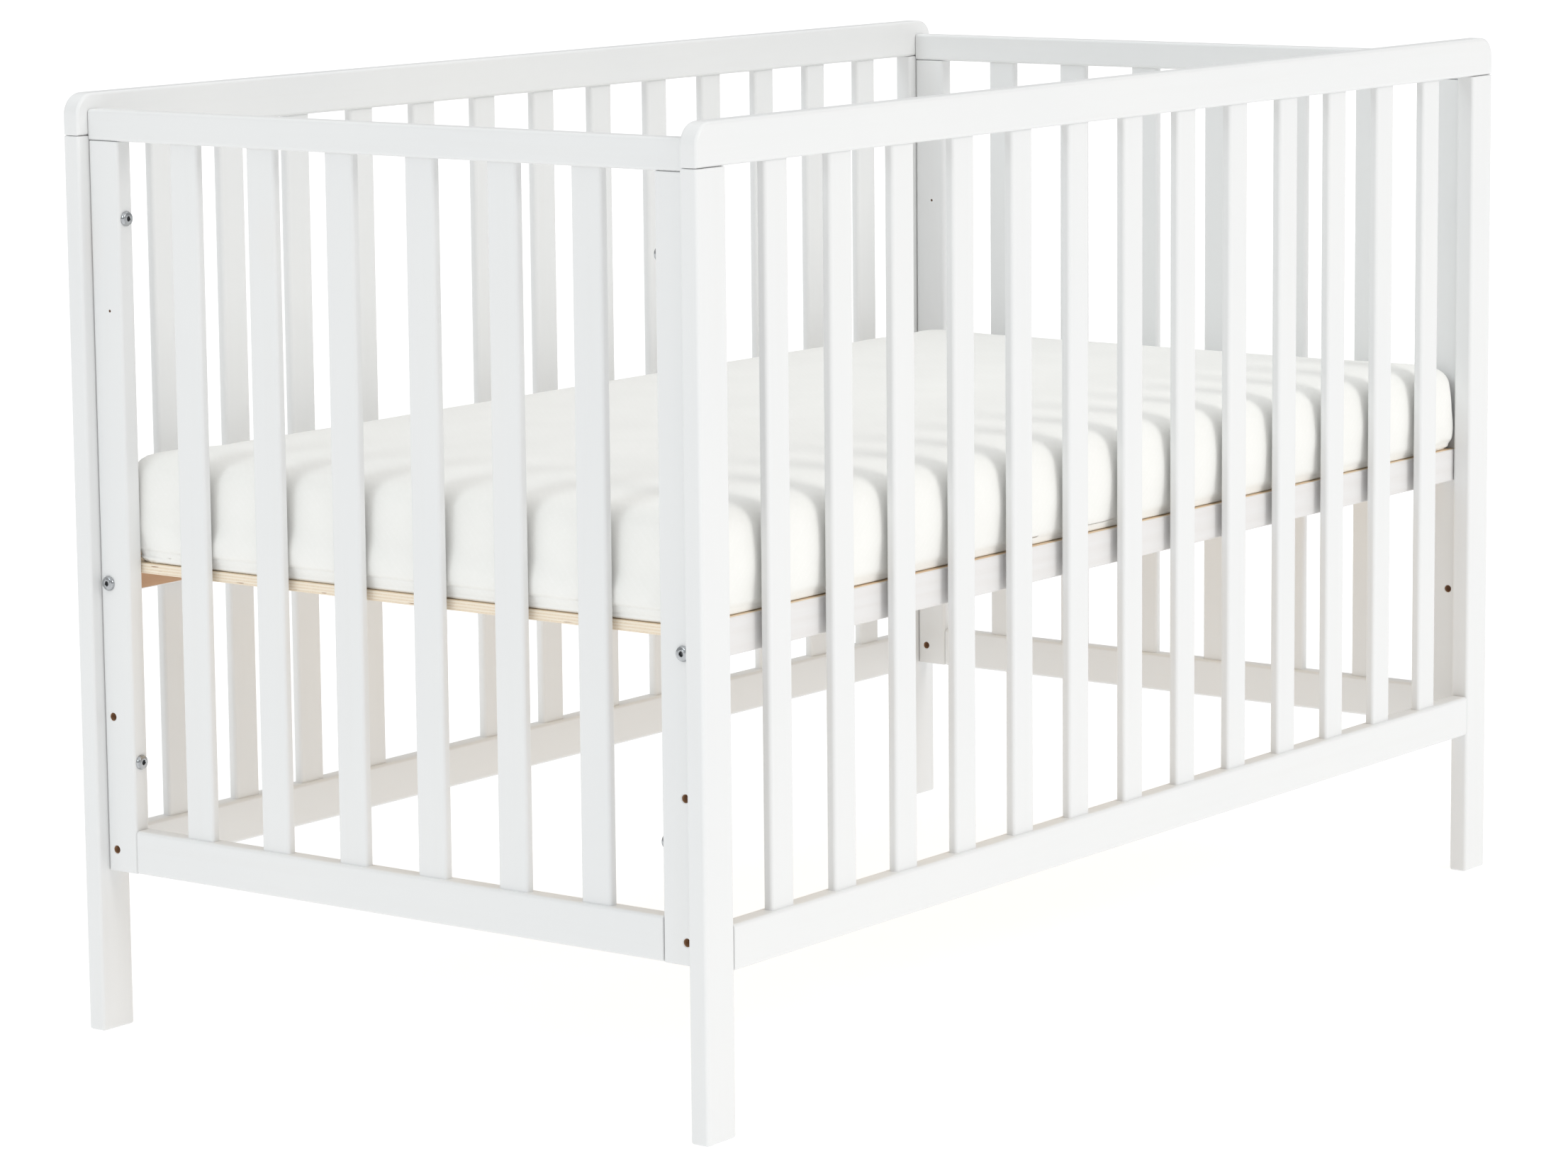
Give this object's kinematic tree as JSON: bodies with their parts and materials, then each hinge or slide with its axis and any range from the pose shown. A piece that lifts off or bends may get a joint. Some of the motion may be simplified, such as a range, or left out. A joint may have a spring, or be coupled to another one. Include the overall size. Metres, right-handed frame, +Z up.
{
  "type": "baby crib",
  "caption": "Rectangular crib with slatted long sides and slatted end panels bolted between them, a bolted slatted bed base set at its highest level, and a loose flat mattress.",
  "frame": {"origin": "on the floor at the middle of the footprint", "axes": "+X along the length to the right end as seen from the front, +Y to the back long side, +Z up"},
  "size_m": [1.262, 0.68, 0.816],
  "materials": {
    "white_wood": "solid wood with opaque white semi-gloss lacquer",
    "bare_wood": "bare beech dowel",
    "base_rail_wood": "pine, whitewashed outside and natural inside",
    "plywood": "sanded plywood with open layered edges",
    "bolt_steel": "bright zinc plated steel",
    "mattress_foam": "soft foam core",
    "mattress_knit": "fine ivory white knitted cover"
  },
  "bodies": {
    "frame": {"front_top_rail": "white_wood", "front_bottom_rail": "white_wood", "front_left_leg": "white_wood", "front_right_leg": "white_wood", "front_slats": "white_wood", "back_top_rail": "white_wood", "back_bottom_rail": "white_wood", "back_left_leg": "white_wood", "back_right_leg": "white_wood", "back_slats": "white_wood", "left_top_rail": "white_wood", "left_bottom_rail": "white_wood", "left_front_stile": "white_wood", "left_back_stile": "white_wood", "left_slats": "white_wood", "right_top_rail": "white_wood", "right_bottom_rail": "white_wood", "right_front_stile": "white_wood", "right_back_stile": "white_wood", "right_slats": "white_wood", "long_side_dowels": "bare_wood", "end_panel_dowels": "bare_wood", "corner_bolts": "bolt_steel", "corner_insert_nuts": "bolt_steel", "base_front_rail": "base_rail_wood", "base_back_rail": "base_rail_wood", "base_boards": "plywood", "base_board_screws": "bolt_steel", "base_bolts": "bolt_steel", "base_barrel_nuts": "bolt_steel"},
    "mattress": {"mattress_core": "mattress_foam", "mattress_cover": "mattress_knit"}
  },
  "joints": [
    {"name": "mattress_lift", "type": "slide", "parent": "frame", "child": "mattress", "axis": [0, 0, 1], "range_m": [0, 0.45]}
  ]
}
